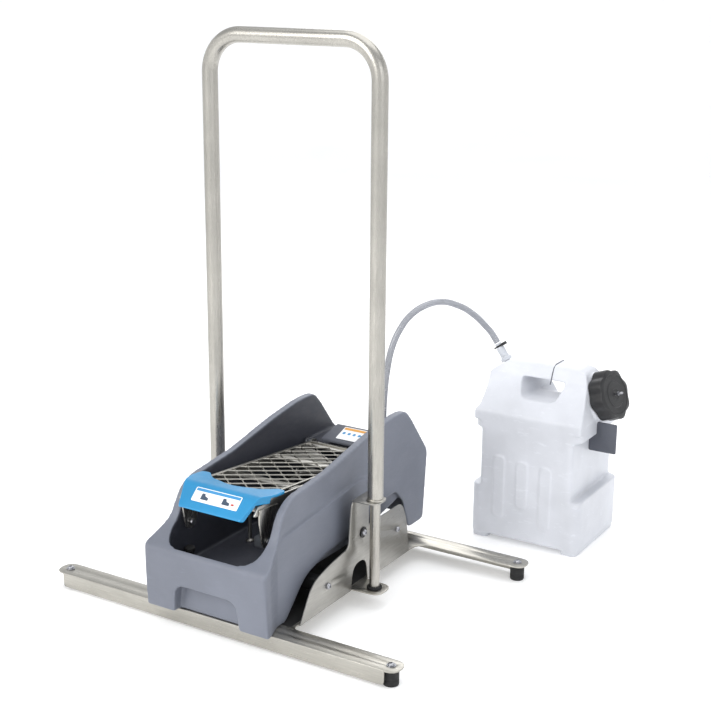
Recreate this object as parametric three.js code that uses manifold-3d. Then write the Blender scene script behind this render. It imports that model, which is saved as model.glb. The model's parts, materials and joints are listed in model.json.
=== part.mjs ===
// Portable footwear washing station: a folded steel base with a tall U-handle, a moulded tub with a
// sprung treadle and a hand-sized pump under it, and a jug that feeds the pump through a hose.
// Millimetres, +Z up, +X to the user's right, +Y away from the user. The station is laid out about its
// own centre plane (x = 0), the plane of the handle legs (y = 0) and the floor (z = 0).
import * as THREE from 'three';
import { mergeVertices } from 'three/addons/utils/BufferGeometryUtils.js';
import Module from 'manifold-3d';

const wasm = await Module();
wasm.setup();

// ---- driving dimensions ----
const GAP = 0.3;                    // clearance between touching pieces
const SHEET = 3;                    // steel sheet of the base and side plates

const BAR_HALF_LENGTH = 410;
const BAR_WIDTH = 48;
const BAR_TOP = 37;
const BAR_FLANGE_BOTTOM = 6.5;
const BAR_CORNER = 24;
const FRONT_BAR_Y = -261;
const REAR_BAR_Y = 270;
const FOOT_X = 387.5;
const FOOT_RADIUS = 15;

const PLATE_OUTER_X = 160;
const PLATE_INNER_X = PLATE_OUTER_X - SHEET;
const UPPER_TAB_TOP = 228.5;
const UPPER_TAB_REACH = 213;
const LOWER_TAB_REACH = 222;
const TAB_HALF_WIDTH = 27;

const HANDLE_X = 195.5;
const HANDLE_TUBE_RADIUS = 15.875;
const HANDLE_TUBE_WALL = 1.5;
const HANDLE_TOP = 1123.5;
const HANDLE_BEND = 75;
const SPIGOT_RADIUS = 10.5;

const SHELL_FRONT = -312;
const SHELL_RIM_X = 126;
const SHELL_BUMPER_X = 145;
const LEDGE_X = 130.5;
const SHELL_BOTTOM = BAR_TOP + GAP;
const BASIN_X = 108;
const BASIN_FLOOR = 108;
const BASIN_REAR = 222;
const RAMP_START = 60;
const RAMP_END = 140;
const DECK_TOP = 236;
const WALL = 6;
const WING_TOP = 336;

const PIVOT_Y = 204;
const PIVOT_Z = 230;
const TREADLE_TILT = THREE.MathUtils.degToRad(5.4);
const SHAFT_RADIUS = 6;
const RAIL_X = 90;
const GRATE_X = 80;
const GRATE_TOP = 14;
const GRATE_FRONT = -425;
const GRATE_REAR = -16;

const PUMP_Y = -60;
const PUMP_BORE = 22.6;
const PUMP_HEAD_TOP = 192;
const BUTTON_TOP = 240.3;
const PORT_X = 20;
const PORT_Z = 118;
const SUCTION_Z = 156;

const JUG = { left: 192, right: 455, front: 428, back: 660 };
const JUG_BLOCK_TOP = 127;
const JUG_SHOULDER = { bottom: 262, top: 303 };
const JUG_RIDGE = { front: 514, back: 574, top: 405 };
const JUG_WALL = 3;
const CAP_CENTRE = new THREE.Vector3(465, 543, 349);
const CAP_AXIS = new THREE.Vector3(0.92, -0.14, 0.36).normalize();
const COUPLING_SEAT = new THREE.Vector3(218, 544, 389.5);
const COUPLING_AXIS = new THREE.Vector3(-0.575, 0, 0.818).normalize();

const HOSE_RADIUS = 7.3;

// ---- finishes ----
const finish = (color, roughness, metalness = 0) => ({ color, roughness, metalness });
const STAINLESS = finish(0xb9b4a8, 0.38, 1);
const ZINC = finish(0x9d9da0, 0.35, 1);
const SHELL_GREY = finish(0x7d818d, 0.55);
const DARK_GREY = finish(0x4b4d55, 0.6);
const BLACK_RUBBER = finish(0x17171a, 0.85);
const HEEL_BLUE = finish(0x2f9fd6, 0.45);
const JUG_WHITE = finish(0xeef0f2, 0.5);
const PUMP_GREY = finish(0x5c6066, 0.5);
const HOSE_CLEAR = finish(0xb7bac0, 0.3);
const BRASS = finish(0xb08d4c, 0.35, 1);

// ---- shape helpers ----
const ALONG_X = new THREE.Matrix4().makeBasis(
  new THREE.Vector3(0, 1, 0), new THREE.Vector3(0, 0, 1), new THREE.Vector3(1, 0, 0));
const ALONG_Y = new THREE.Matrix4().makeBasis(
  new THREE.Vector3(1, 0, 0), new THREE.Vector3(0, 0, 1), new THREE.Vector3(0, -1, 0));
const LATHE_TO_Z = new THREE.Matrix4().makeRotationX(Math.PI / 2);
const UP = new THREE.Vector3(0, 0, 1);

// A closed counter-clockwise outline from its corners [u, v, reach], each rounded off over its reach.
function outline(list) {
  const clockwise = THREE.ShapeUtils.area(list.map(([u, v]) => new THREE.Vector2(u, v))) < 0;
  const corners = clockwise ? [...list].reverse() : list;
  const points = corners.map(([u, v]) => new THREE.Vector2(u, v));
  const shape = new THREE.Shape();
  corners.forEach(([, , reach = 0], i) => {
    const here = points[i];
    const before = points[(i + points.length - 1) % points.length];
    const after = points[(i + 1) % points.length];
    const entry = before.clone().sub(here).setLength(reach).add(here);
    const exit = after.clone().sub(here).setLength(reach).add(here);
    if (i === 0) {
      shape.moveTo(entry.x, entry.y);
    } else {
      shape.lineTo(entry.x, entry.y);
    }
    if (reach > 0) {
      shape.quadraticCurveTo(here.x, here.y, exit.x, exit.y);
    }
  });
  shape.closePath();
  return shape;
}

// Corners of an outline that is its own mirror image about u = 0, from the right half, in order.
function mirrored(half) {
  const left = half.map(([u, v, reach]) => [-u, v, reach]).reverse();
  return [...half, ...left];
}

const rectangle = (u0, u1, v0, v1, reach = 0) =>
  outline([[u0, v0, reach], [u1, v0, reach], [u1, v1, reach], [u0, v1, reach]]);

function circleHole(shape, u, v, radius) {
  const hole = new THREE.Path();
  hole.absarc(u, v, radius, 0, 2 * Math.PI, true);
  shape.holes.push(hole);
  return shape;
}

function extrude(shape, depth, curveSegments = 4) {
  return new THREE.ExtrudeGeometry(shape, { depth, bevelEnabled: false, curveSegments });
}

// An outline in (y, z), run from x0 to x1.
function extrudeX(shape, x0, x1, curveSegments) {
  return extrude(shape, x1 - x0, curveSegments).applyMatrix4(ALONG_X).translate(x0, 0, 0);
}

// An outline in (x, z), run from y0 to y1.
function extrudeY(shape, y0, y1, curveSegments) {
  return extrude(shape, y1 - y0, curveSegments).applyMatrix4(ALONG_Y).translate(0, y1, 0);
}

// An outline in (x, y), run from z0 to z1.
function extrudeZ(shape, z0, z1, curveSegments) {
  return extrude(shape, z1 - z0, curveSegments).translate(0, 0, z0);
}

const box = (x0, x1, y0, y1, z0, z1) =>
  new THREE.BoxGeometry(x1 - x0, y1 - y0, z1 - z0).translate((x0 + x1) / 2, (y0 + y1) / 2, (z0 + z1) / 2);

// A turned piece about +Z from its [radius, z] profile, which starts and ends on the axis.
function turned(profile, sides = 12) {
  const points = profile.map(([radius, z]) => new THREE.Vector2(radius, z));
  return new THREE.LatheGeometry(points, sides).applyMatrix4(LATHE_TO_Z);
}

const disc = (radius, z0, z1, sides) => turned([[0, z0], [radius, z0], [radius, z1], [0, z1]], sides);

const ring = (inner, outer, z0, z1, sides) =>
  turned([[inner, z0], [outer, z0], [outer, z1], [inner, z1], [inner, z0]], sides);

// Turns a piece made about +Z so that it lies along a direction, with its z = 0 at a point.
function aim(geometry, direction, point) {
  const turn = new THREE.Quaternion().setFromUnitVectors(UP, direction);
  return geometry.applyQuaternion(turn).translate(point.x, point.y, point.z);
}

const aimX = (geometry, x, y, z) =>
  aim(geometry, new THREE.Vector3(1, 0, 0), new THREE.Vector3(x, y, z));

// ---- joining and cutting ----
function solid(geometry) {
  const bare = geometry.clone();
  bare.deleteAttribute('normal');
  bare.deleteAttribute('uv');
  const merged = mergeVertices(bare, 1e-3);
  return new wasm.Manifold(new wasm.Mesh({
    numProp: 3,
    vertProperties: new Float32Array(merged.attributes.position.array),
    triVerts: new Uint32Array(merged.index.array),
  }));
}

function geometryOf(manifold) {
  const mesh = manifold.getMesh();
  const geometry = new THREE.BufferGeometry();
  geometry.setAttribute('position', new THREE.BufferAttribute(new Float32Array(mesh.vertProperties), 3));
  geometry.setIndex(new THREE.BufferAttribute(new Uint32Array(mesh.triVerts), 1));
  geometry.computeVertexNormals();
  return geometry;
}

const joined = (...geometries) => geometries.map(solid).reduce((sum, next) => sum.add(next));
const cut = (body, ...tools) => tools.map(solid).reduce((rest, tool) => rest.subtract(tool), body);

// ---- curves ----
// A run of straight stretches with round bends, stepped only where it bends.
class BentRun extends THREE.Curve {
  constructor(corners, bend, stepsPerBend = 6) {
    super();
    this.stations = [];
    corners.forEach((corner, i) => {
      const before = corners[i - 1];
      const after = corners[i + 1];
      if (!before || !after) {
        const tangent = before ? corner.clone().sub(before) : after.clone().sub(corner);
        this.stations.push({ point: corner, tangent: tangent.normalize() });
        return;
      }
      const incoming = corner.clone().sub(before).normalize();
      const outgoing = after.clone().sub(corner).normalize();
      const turn = incoming.angleTo(outgoing);
      const entry = corner.clone().addScaledVector(incoming, -bend * Math.tan(turn / 2));
      const inward = outgoing.clone().addScaledVector(incoming, -outgoing.dot(incoming)).normalize();
      for (let step = 0; step <= stepsPerBend; step += 1) {
        const angle = turn * step / stepsPerBend;
        const point = entry.clone()
          .addScaledVector(incoming, bend * Math.sin(angle))
          .addScaledVector(inward, bend * (1 - Math.cos(angle)));
        const tangent = incoming.clone().multiplyScalar(Math.cos(angle))
          .addScaledVector(inward, Math.sin(angle));
        this.stations.push({ point, tangent });
      }
    });
  }

  get steps() {
    return this.stations.length - 1;
  }

  getSpacedPoints() {
    return this.stations.map(({ point }) => point.clone());
  }

  getTangentAt(u, target = new THREE.Vector3()) {
    return target.copy(this.stations[Math.round(u * this.steps)].tangent);
  }
}

function circleShape(radius) {
  const shape = new THREE.Shape();
  shape.absarc(0, 0, radius, 0, 2 * Math.PI, false);
  return shape;
}

// A whole circle gets twice as many sides as its curveSegments.
const sweep = (shape, path, steps, sides) =>
  new THREE.ExtrudeGeometry(shape, {
    steps, extrudePath: path, curveSegments: sides / 2, bevelEnabled: false,
  });

function bentRod(corners, bend, radius, sides = 8) {
  const run = new BentRun(corners.map((corner) => new THREE.Vector3(...corner)), bend, 4);
  return sweep(circleShape(radius), run, run.steps, sides);
}

// ---- scene graph ----
const station = new THREE.Group();
const treadle = new THREE.Group();
treadle.position.set(0, PIVOT_Y, PIVOT_Z);
treadle.rotation.x = -TREADLE_TILT;
station.add(treadle);

function piece(name, shape, look, parent = station) {
  const geometry = shape.isBufferGeometry ? shape : geometryOf(shape);
  const mesh = new THREE.Mesh(geometry, new THREE.MeshStandardMaterial(look));
  mesh.name = name;
  parent.add(mesh);
  return mesh;
}

const SIDES = [['left', -1], ['right', 1]];

// ---- base frame ----
function addBase() {
  const bottom = BAR_TOP - SHEET;
  const front = [FRONT_BAR_Y - BAR_WIDTH / 2, FRONT_BAR_Y + BAR_WIDTH / 2];
  const rear = [REAR_BAR_Y - BAR_WIDTH / 2, REAR_BAR_Y + BAR_WIDTH / 2];
  const edge = PLATE_INNER_X - GAP;
  const platesEnd = 206;
  const sheet = outline(mirrored([
    [BAR_HALF_LENGTH, front[0], BAR_CORNER],
    [BAR_HALF_LENGTH, front[1], BAR_CORNER - 1],
    [edge, front[1], 12],
    [edge, -TAB_HALF_WIDTH - 3, 0],
    [LOWER_TAB_REACH, -TAB_HALF_WIDTH, 22],
    [LOWER_TAB_REACH, TAB_HALF_WIDTH, 22],
    [edge, TAB_HALF_WIDTH + 3, 0],
    [edge, platesEnd, 0],
    [PLATE_OUTER_X, platesEnd, 0],
    [PLATE_OUTER_X, rear[0], 34],
    [BAR_HALF_LENGTH, rear[0], BAR_CORNER - 1],
    [BAR_HALF_LENGTH, rear[1], BAR_CORNER],
  ]));
  for (const [, side] of SIDES) {
    circleHole(sheet, side * HANDLE_X, 0, 4.4);
    circleHole(sheet, side * FOOT_X, FRONT_BAR_Y, 4.4);
    circleHole(sheet, side * FOOT_X, REAR_BAR_Y, 4.4);
  }
  const flangeHalf = BAR_HALF_LENGTH - BAR_CORNER;
  const flange = outline(mirrored([[flangeHalf, bottom + 1, 0], [flangeHalf, BAR_FLANGE_BOTTOM, 10]]));
  piece('base_pan', joined(
    extrudeZ(sheet, bottom, BAR_TOP, 4),
    extrudeY(flange, front[0], front[0] + SHEET),
    extrudeY(flange, rear[1] - SHEET, rear[1]),
  ), STAINLESS);

  for (const [end, y] of [['front', FRONT_BAR_Y], ['rear', REAR_BAR_Y]]) {
    for (const [hand, side] of SIDES) {
      const foot = turned([
        [4.4, 6], [FOOT_RADIUS - 5, 6], [FOOT_RADIUS - 5, 0], [FOOT_RADIUS - 1.5, 0], [FOOT_RADIUS, 2],
        [FOOT_RADIUS, bottom - GAP], [4.4, bottom - GAP], [4.4, 6],
      ]);
      piece(`foot_${end}_${hand}`, foot.translate(side * FOOT_X, y, 0), BLACK_RUBBER);
    }
  }
}

// ---- side plates with the upper handle tabs ----
const PLATE_BOLTS = [[-119, 79.5], [151, 103.5]];
const SHELL_BOLT = [12, 146.5];

function addSidePlates() {
  const bottom = BAR_TOP - SHEET;
  const tabTop = UPPER_TAB_TOP;
  for (const [hand, side] of SIDES) {
    const profile = outline([
      [-217, bottom, 0], [-174, 104, 26], [-112, 121, 26], [-42, 131, 12], [-36, 190, 10],
      [-30, tabTop, 18], [35, tabTop, 0], [35, 155, 4], [170, 157, 16], [190, 118, 16], [205.5, bottom, 0],
      [33, bottom, 0], [24, 87, 22], [-24, 87, 22], [-33, bottom, 0],
    ]);
    for (const [y, z] of [...PLATE_BOLTS, SHELL_BOLT]) {
      circleHole(profile, y, z, 3.3);
    }
    const tab = outline([
      [side * (PLATE_INNER_X + 1), -TAB_HALF_WIDTH - 1, 0], [side * UPPER_TAB_REACH, -TAB_HALF_WIDTH + 2, 20],
      [side * UPPER_TAB_REACH, TAB_HALF_WIDTH - 2, 20], [side * (PLATE_INNER_X + 1), TAB_HALF_WIDTH + 1, 0],
    ]);
    circleHole(tab, side * HANDLE_X, 0, SPIGOT_RADIUS + GAP);
    const inner = Math.min(side * PLATE_INNER_X, side * PLATE_OUTER_X);
    piece(`side_plate_${hand}`, joined(
      extrudeX(profile, inner, inner + SHEET),
      extrudeZ(tab, tabTop - SHEET, tabTop, 8),
    ), STAINLESS);
  }
}

// ---- subframe under the tub and the tie rods that clamp everything between the plates ----
function tieRod(threadLength) {
  const shank = 3;
  const head = threadLength + 5;
  return turned([[0, -head], [4.5, -head], [6.5, -head + 2], [6.5, -threadLength], [shank, -threadLength],
    [shank, threadLength], [6.5, threadLength], [6.5, head - 2], [4.5, head], [0, head]], 12);
}

function addSubframe() {
  const half = 12.5;
  const reach = PLATE_INNER_X - GAP;
  const [front, rear] = PLATE_BOLTS;
  const tubes = PLATE_BOLTS.map(([y, z]) =>
    extrudeX(rectangle(y - half, y + half, z - half, z + half, 2), -reach, reach));
  const rail = outline([[front[0], front[1] - 6], [rear[0], rear[1] - 6], [rear[0], rear[1] + 6],
    [front[0], front[1] + 6]]);
  const bores = PLATE_BOLTS.map(([y, z]) => aimX(disc(3.3, -reach - 1, reach + 1, 14), 0, y, z));
  piece('subframe', cut(joined(...tubes, extrudeX(rail, -10, 10)), ...bores), ZINC);
  piece('tie_rod_front', aimX(tieRod(PLATE_OUTER_X + GAP), 0, ...front), ZINC);
  piece('tie_rod_rear', aimX(tieRod(PLATE_OUTER_X + GAP), 0, ...rear), ZINC);

  piece('tie_rod_shell', aimX(tieRod(PLATE_OUTER_X + 2 + GAP), 0, ...SHELL_BOLT), ZINC);
  const spacerStart = LEDGE_X + GAP;
  for (const [hand, side] of SIDES) {
    const spacer = ring(3.3, 8, 0, reach - spacerStart, 12);
    const at = new THREE.Vector3(side * spacerStart, ...SHELL_BOLT);
    piece(`shell_spacer_${hand}`, aim(spacer, new THREE.Vector3(side, 0, 0), at), PUMP_GREY);
  }
}

// ---- handle ----
function addHandle() {
  const foot = UPPER_TAB_TOP + GAP;
  const tabTop = BAR_TOP;
  const section = circleShape(HANDLE_TUBE_RADIUS);
  const tubeBore = HANDLE_TUBE_RADIUS - HANDLE_TUBE_WALL;
  section.holes.push(new THREE.Path().absarc(0, 0, tubeBore, 0, 2 * Math.PI, true));
  const run = new BentRun([
    new THREE.Vector3(-HANDLE_X, 0, foot), new THREE.Vector3(-HANDLE_X, 0, HANDLE_TOP),
    new THREE.Vector3(HANDLE_X, 0, HANDLE_TOP), new THREE.Vector3(HANDLE_X, 0, foot),
  ], HANDLE_BEND, 6);
  const collars = SIDES.map(([, side]) =>
    ring(HANDLE_TUBE_RADIUS - 1, HANDLE_TUBE_RADIUS + 2.2, foot, foot + 4, 14)
      .translate(side * HANDLE_X, 0, 0));
  piece('u_handle', joined(sweep(section, run, run.steps, 14), ...collars), STAINLESS);

  const plug = HANDLE_TUBE_RADIUS - HANDLE_TUBE_WALL - 3 * GAP;
  const stud = 4;
  for (const [hand, side] of SIDES) {
    const x = side * HANDLE_X;
    const spigot = turned([
      [0, tabTop - 14], [stud, tabTop - 14], [stud, tabTop + GAP], [SPIGOT_RADIUS, tabTop + GAP],
      [SPIGOT_RADIUS, foot], [plug, foot + 2], [plug, foot + 58], [plug - 3, foot + 62], [0, foot + 62],
    ]);
    piece(`handle_spigot_${hand}`, spigot.translate(x, 0, 0), STAINLESS);
    const footRing = ring(SPIGOT_RADIUS + GAP, 15.5, tabTop + GAP, tabTop + 5, 12);
    piece(`spigot_ring_${hand}`, footRing.translate(x, 0, 0), BLACK_RUBBER);
  }
}

// ---- moulded tub ----
function addShell() {
  const side = outline([
    [-304, SHELL_BOTTOM, 5], [SHELL_FRONT, 166, 10], [-285, 180, 8], [-246, 208, 16], [-224, 256, 18],
    [-190, 279, 16], [-60, 293, 0], [90, 323, 0], [180, WING_TOP, 12], [244, WING_TOP, 16], [270, 309, 14],
    [344, 218, 12], [328, 60, 10], [264, 60, 8], [238, 130, 12], [206, 162, 10], [126, 161, 14],
    [60, 132, 14], [-70, 126, 10], [-152, 106, 22], [-196, 62, 18], [-222, SHELL_BOTTOM, 6],
  ]);
  const plan = outline(mirrored([
    [SHELL_BUMPER_X, SHELL_FRONT, 12], [SHELL_BUMPER_X, -292, 7], [132, -256, 12], [SHELL_RIM_X, -228, 8],
    [124, -180, 0], [126, 340, 6], [118, 360, 0],
  ]));
  const tall = [SHELL_BOTTOM - 1, WING_TOP + 1];
  const wide = SHELL_BUMPER_X + 1;
  const outer = solid(extrudeX(side, -wide, wide)).intersect(solid(extrudeZ(plan, ...tall)));

  const basinX = BASIN_X + WALL;
  const basinUnder = BASIN_FLOOR - WALL;
  const basin = outline([
    [-294, basinUnder, 4], [RAMP_START, basinUnder, 20], [BASIN_REAR + WALL, RAMP_END - WALL, 0],
    [BASIN_REAR + WALL, DECK_TOP, 0], [-218, DECK_TOP, 0], [-240, 208, 0], [-280, 176, 0],
    [-294, 165, 0],
  ]);
  const hollow = outline([
    [-300, WING_TOP + 20, 0], [-300, 172, 4], [-288, BASIN_FLOOR, 10], [RAMP_START, BASIN_FLOOR, 20],
    [BASIN_REAR, RAMP_END, 6], [BASIN_REAR, DECK_TOP, 3], [380, DECK_TOP, 0], [380, WING_TOP + 20, 0],
  ]);
  const underBasin = outline([
    [-274, 20, 0], [-274, basinUnder, 4], [RAMP_START, basinUnder, 20],
    [BASIN_REAR + WALL, RAMP_END - WALL, 0], [BASIN_REAR + WALL, DECK_TOP - WALL, 3],
    [318, DECK_TOP - WALL, 8], [334, 210, 8], [320, 20, 0],
  ]);
  const underX = SHELL_RIM_X - 6;
  const handHollow = outline(mirrored([[78, SHELL_BOTTOM - 5, 0], [72, 97, 22]]));
  const mouth = outline(mirrored([[BASIN_X, -300, 46], [BASIN_X, 400, 0]]));
  const inside = solid(extrudeX(hollow, -BASIN_X, BASIN_X))
    .intersect(solid(extrudeZ(mouth, 90, WING_TOP + 30, 6)));
  const belowLedge = outline([[-246, SHELL_BOTTOM, 0], [-246, 203, 8], [-229, 213, 8], [70, 244, 24],
    [150, 170, 20], [150, SHELL_BOTTOM, 0]]);
  const ledge = solid(extrudeX(side, -LEDGE_X, LEDGE_X)).intersect(solid(extrudeX(belowLedge, -wide, wide)));
  const shell = cut(outer.add(ledge).add(solid(extrudeX(basin, -basinX, basinX))).subtract(inside),
    extrudeX(underBasin, -underX, underX),
    extrudeY(handHollow, SHELL_FRONT - 5, -282),
    aimX(disc(3.3, -200, 200, 14), 0, ...SHELL_BOLT),
    disc(9.3, 90, 120, 18).translate(0, -215, 0),
    disc(8.3, 220, 250, 18).translate(HOSE_EXIT.x, HOSE_EXIT.y, 0),
    extrudeY(circleShape(8), BASIN_REAR - 2, BASIN_REAR + 10, 12).translate(-PORT_X, 0, SUCTION_Z));
  piece('tub_shell', shell, SHELL_GREY);

  piece('drain_plug', turned([[0, 97], [6, 97], [9, 98], [9, 108.3], [12, 108.3], [12, 111], [0, 112]], 18)
    .translate(0, -215, 0), BLACK_RUBBER);
  for (const [hand, side] of SIDES) {
    const buffer = turned([[0, BASIN_FLOOR + GAP], [12, BASIN_FLOOR + GAP], [12, 112],
      [8, 116], [8, 134], [11, 138], [11, 143.5], [8, 146.5], [0, 146.5]], 12);
    piece(`stop_buffer_${hand}`, buffer.translate(side * 92, -232, 0), BLACK_RUBBER);
  }
}

// ---- cover over the valve block at the toe end ----
function addRearHousing() {
  const half = 60;
  const base = DECK_TOP + GAP;
  const skin = outline([
    [196, 247, 0], [196, 253, 3], [254, 272, 5], [262, 262, 4], [262, base, 0], [226, base, 0], [220, 247, 0],
  ]);
  const room = outline([[230, base - 5, 0], [226, 251, 0], [250, 265, 3], [258, 258, 3], [258, base - 5, 0]]);
  const ends = outline(mirrored([[half, base - 1, 0], [half, 256, 6], [half - 10, 280, 0]]));
  const cover = solid(extrudeX(skin, -half, half)).intersect(solid(extrudeY(ends, 190, 266)));
  piece('rear_housing', cut(cover, extrudeX(room, -half + 8, half - 8)), DARK_GREY);
  piece('valve_block', joined(box(-30, 30, 234, 252, base, 253), box(-42, 42, 238, 248, base, 246)), BRASS);
}

// ---- treadle: frame, grate, heel rest, hangers ----
const HANGER = { v: -427, w: -72 };

function addTreadle() {
  const railTop = GRATE_TOP - SHEET - GAP;
  const tubeRadius = 9;
  const rail = outline([
    [-470, -16, 5], [-456, 3, 3], [-427, 3, 0], [-422, railTop, 0], [-12, railTop, 0], [-8, 13, 3],
    [13, 13, 8], [13, -13, 8], [-14, -14, 6],
  ]);
  circleHole(rail, 0, 0, tubeRadius + 2 * GAP);
  const rails = SIDES.map(([, side]) => {
    const inner = Math.min(side * (RAIL_X - 4), side * RAIL_X);
    return extrudeX(rail, inner, inner + 4, 6);
  });
  const crossings = [[-454, -434, -10, 2], [-420, -400, railTop - 4, railTop], [-278, -254, -14, -10],
    [-170, -148, railTop - 4, railTop], [-40, -20, railTop - 4, railTop]];
  const beams = crossings.map(([v0, v1, w0, w1]) => box(-RAIL_X + 2, RAIL_X - 2, v0, v1, w0, w1));
  piece('treadle_frame', joined(...rails, ...beams), STAINLESS, treadle);
  const sleeve = ring(SHAFT_RADIUS + GAP, tubeRadius, -RAIL_X, RAIL_X, 14);
  piece('pivot_tube', aimX(sleeve, 0, 0, 0), ZINC, treadle);

  addGrate();
  addHeelRest();

  for (const [hand, side] of SIDES) {
    const foot = HANGER.w - 14;
    const plate = outline([[-458, -4, 4], [-456, -30, 6], [-440, foot, 12], [-414, foot, 12], [-392, -4, 6]]);
    circleHole(plate, HANGER.v, HANGER.w, 3.3);
    const near = Math.min(side * (RAIL_X + GAP), side * (RAIL_X + GAP + SHEET));
    piece(`hanger_${hand}`, extrudeX(plate, near, near + SHEET), STAINLESS, treadle);

    const outerHead = RAIL_X + SHEET + 2 * GAP;
    const bolt = turned([[0, RAIL_X - 6], [6, RAIL_X - 6], [6, RAIL_X], [3, RAIL_X], [3, outerHead],
      [6, outerHead], [6, outerHead + 3], [4, outerHead + 4], [0, outerHead + 4]], 12);
    const axis = new THREE.Vector3(side, 0, 0);
    piece(`hanger_bolt_${hand}`, aim(bolt, axis, new THREE.Vector3(0, HANGER.v, HANGER.w)), ZINC, treadle);
  }
}

// Expanded metal: staggered rows of diamonds in a plain border.
function addGrate() {
  const border = 6;
  const long = 44;
  const short = 40;
  const strand = 3;
  const sheet = rectangle(-GRATE_X, GRATE_X, GRATE_FRONT, GRATE_REAR, 3);
  const halfLong = long / 2 - strand;
  const halfShort = short / 2 - strand;
  const rows = Math.floor((GRATE_REAR - GRATE_FRONT - 2 * border - short / 2) / (short / 2));
  for (let row = 0; row < rows; row += 1) {
    const v = GRATE_FRONT + border + short / 2 + row * (short / 2);
    const shift = row % 2 === 0 ? 0 : long / 2;
    for (let u = -GRATE_X - shift; u <= GRATE_X; u += long) {
      if (Math.abs(u) + halfLong < GRATE_X - border) {
        const diamond = new THREE.Path();
        diamond.moveTo(u + halfLong, v);
        diamond.lineTo(u, v - halfShort);
        diamond.lineTo(u - halfLong, v);
        diamond.lineTo(u, v + halfShort);
        diamond.closePath();
        sheet.holes.push(diamond);
      }
    }
  }
  piece('grate', extrudeZ(sheet, GRATE_TOP - SHEET, GRATE_TOP), STAINLESS, treadle);
}

function addHeelRest() {
  const top = 20;
  const under = GRATE_TOP + GAP;
  const half = 101;
  const side = outline([
    [-494, -22, 4], [-484, -25, 3], [-460, 4 + GAP, 0], [-430, 4 + GAP, 0],
    [-428, under, 0], [-380, under, 0], [-380, top, 3], [-455, top, 10],
  ]);
  const plan = outline(mirrored([
    [72, -495, 8], [half, -424, 20], [half, -384, 8], [84, -379, 5], [56, -408, 14], [10, -421, 8],
  ]));
  const block = solid(extrudeX(side, -half - 1, half + 1)).intersect(solid(extrudeZ(plan, -30, top + 5, 6)));
  piece('heel_rest', block, HEEL_BLUE, treadle);
}

// ---- pivot ----
function addPivot() {
  const shaftHalf = 103;
  piece('pivot_shaft', aimX(disc(SHAFT_RADIUS, -shaftHalf, shaftHalf, 14), 0, PIVOT_Y, PIVOT_Z), ZINC);
  for (const [hand, side] of SIDES) {
    const rear = BASIN_REAR - GAP;
    const plate = outline([[rear, 212, 0], [rear, 235, 0], [212, 244, 8], [192, 244, 10], [192, 218, 10]]);
    circleHole(plate, PIVOT_Y, PIVOT_Z, SHAFT_RADIUS + GAP);
    const near = Math.min(side * 98, side * 103);
    piece(`pivot_bracket_${hand}`, extrudeX(plate, near, near + 5, 12), ZINC);
    const bush = ring(SHAFT_RADIUS + GAP, 10.5, 0, 6.8, 12);
    const seat = new THREE.Vector3(side * (RAIL_X + 2 * GAP), PIVOT_Y, PIVOT_Z);
    piece(`pivot_bush_${hand}`, aim(bush, new THREE.Vector3(side, 0, 0), seat), PUMP_GREY);
  }
}

// ---- pump, its valves and the spray pipes ----
function addPump() {
  const floor = BASIN_FLOOR + GAP;
  const blockTop = 128;
  const cylinderTop = PUMP_HEAD_TOP - 6 - GAP;
  const onPump = (geometry) => geometry.translate(0, PUMP_Y, 0);
  const base = rectangle(-38, 38, -34, 34, 6);
  const port = () => extrudeY(circleShape(4.3), 20, 36, 12);
  piece('pump_base', onPump(geometryOf(cut(solid(extrudeZ(base, floor, blockTop)),
    port().translate(-PORT_X, 0, PORT_Z), port().translate(PORT_X, 0, PORT_Z)))), PUMP_GREY);
  const barrel = ring(PUMP_BORE, PUMP_BORE + 3.4, blockTop + GAP, cylinderTop, 18);
  piece('pump_cylinder', onPump(barrel), STAINLESS);
  piece('pump_head', onPump(turned([[5.6, cylinderTop + GAP], [30, cylinderTop + GAP], [30, PUMP_HEAD_TOP],
    [5.6, PUMP_HEAD_TOP], [5.6, cylinderTop + GAP]], 18)), PUMP_GREY);

  const pistonTop = 172;
  piece('piston', onPump(turned([
    [0, pistonTop - 12], [21.4, pistonTop - 12], [21.4, pistonTop - 8], [19, pistonTop - 8],
    [19, pistonTop - 4], [21.4, pistonTop - 4], [21.4, pistonTop], [0, pistonTop],
  ], 18)), PUMP_GREY);
  piece('piston_seal', onPump(ring(19.3, 22.2, pistonTop - 7.6, pistonTop - 4.4, 18)), BLACK_RUBBER);
  piece('piston_rod', onPump(disc(5, pistonTop + GAP, BUTTON_TOP - 12 - GAP, 12)), STAINLESS);
  piece('rod_button', onPump(turned([[0, BUTTON_TOP - 12], [15, BUTTON_TOP - 12], [15, BUTTON_TOP - 6],
    [11, BUTTON_TOP - 1.8], [5, BUTTON_TOP - 0.3], [0, BUTTON_TOP]], 14)), BLACK_RUBBER);

  const coil = new SpringCurve(11, PUMP_HEAD_TOP + 1.6, BUTTON_TOP - 12 - 1.6, 4);
  piece('return_spring', onPump(sweep(circleShape(1.2), coil, 36, 6)), ZINC);

  const valve = (x) => extrudeY(circleShape(7), 34 + GAP, 46, 12).translate(x, PUMP_Y, PORT_Z);
  piece('inlet_valve', valve(-PORT_X), BRASS);
  piece('outlet_valve', valve(PORT_X), BRASS);
}

class SpringCurve extends THREE.Curve {
  constructor(radius, low, high, turns) {
    super();
    Object.assign(this, { radius, low, high, turns });
  }

  getPoint(t, target = new THREE.Vector3()) {
    const angle = 2 * Math.PI * this.turns * t;
    return target.set(this.radius * Math.cos(angle), this.radius * Math.sin(angle),
      THREE.MathUtils.lerp(this.low, this.high, t));
  }
}

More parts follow.
